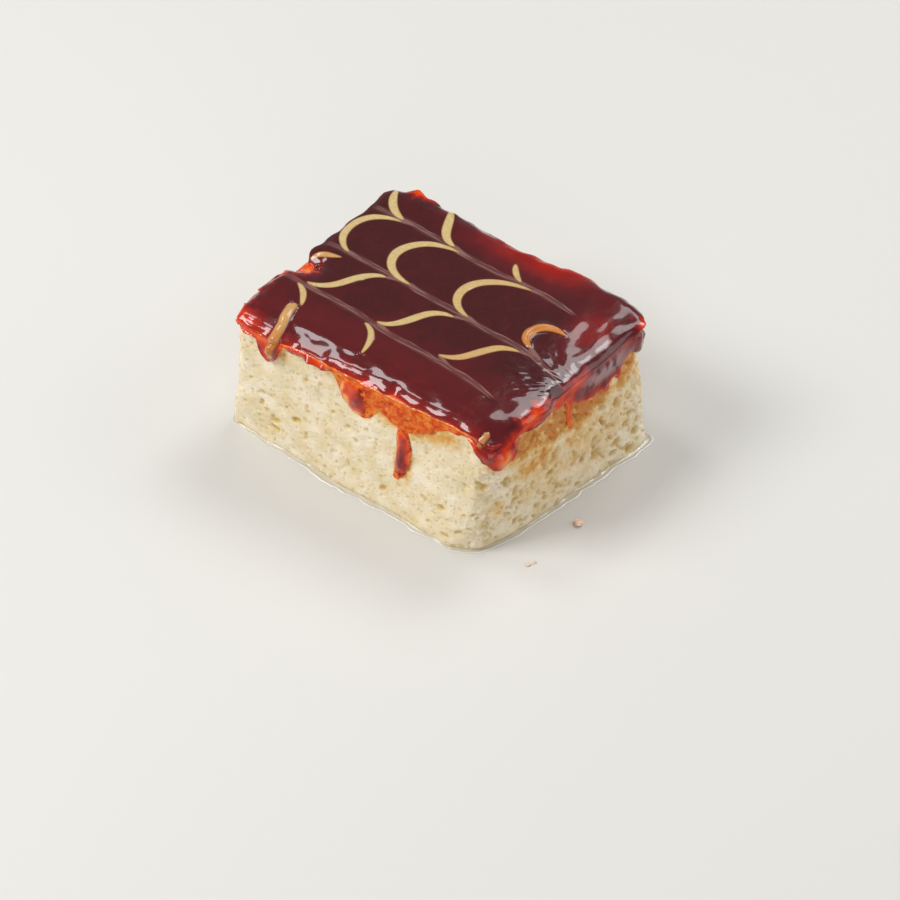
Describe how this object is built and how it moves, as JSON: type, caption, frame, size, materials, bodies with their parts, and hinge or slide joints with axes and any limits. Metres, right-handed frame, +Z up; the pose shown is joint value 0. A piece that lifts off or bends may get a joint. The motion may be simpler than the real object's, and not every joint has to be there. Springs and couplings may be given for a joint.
{
  "type": "glazed milk-soaked sponge cake slice",
  "caption": "Square-cut slice of pale milk-soaked sponge under a thick glossy dark caramel glaze with feathered piped lines, tongues and drips down its cut faces.",
  "frame": {"origin": "middle of the slice's foot, on the surface it stands on", "axes": "+X along the front cut face, from its left end to its right; -Y out of the front cut face; +Z up"},
  "size_m": [0.0985, 0.0742, 0.0421],
  "materials": {
    "sponge": "moist open cake crumb, matt with wet pores",
    "glaze": "set caramel glaze, wet gloss",
    "milk": "thin sweet milk seeping from the foot, wet gloss"
  },
  "bodies": {
    "root": {"sponge": "sponge", "glaze": "glaze"}
  },
  "joints": []
}
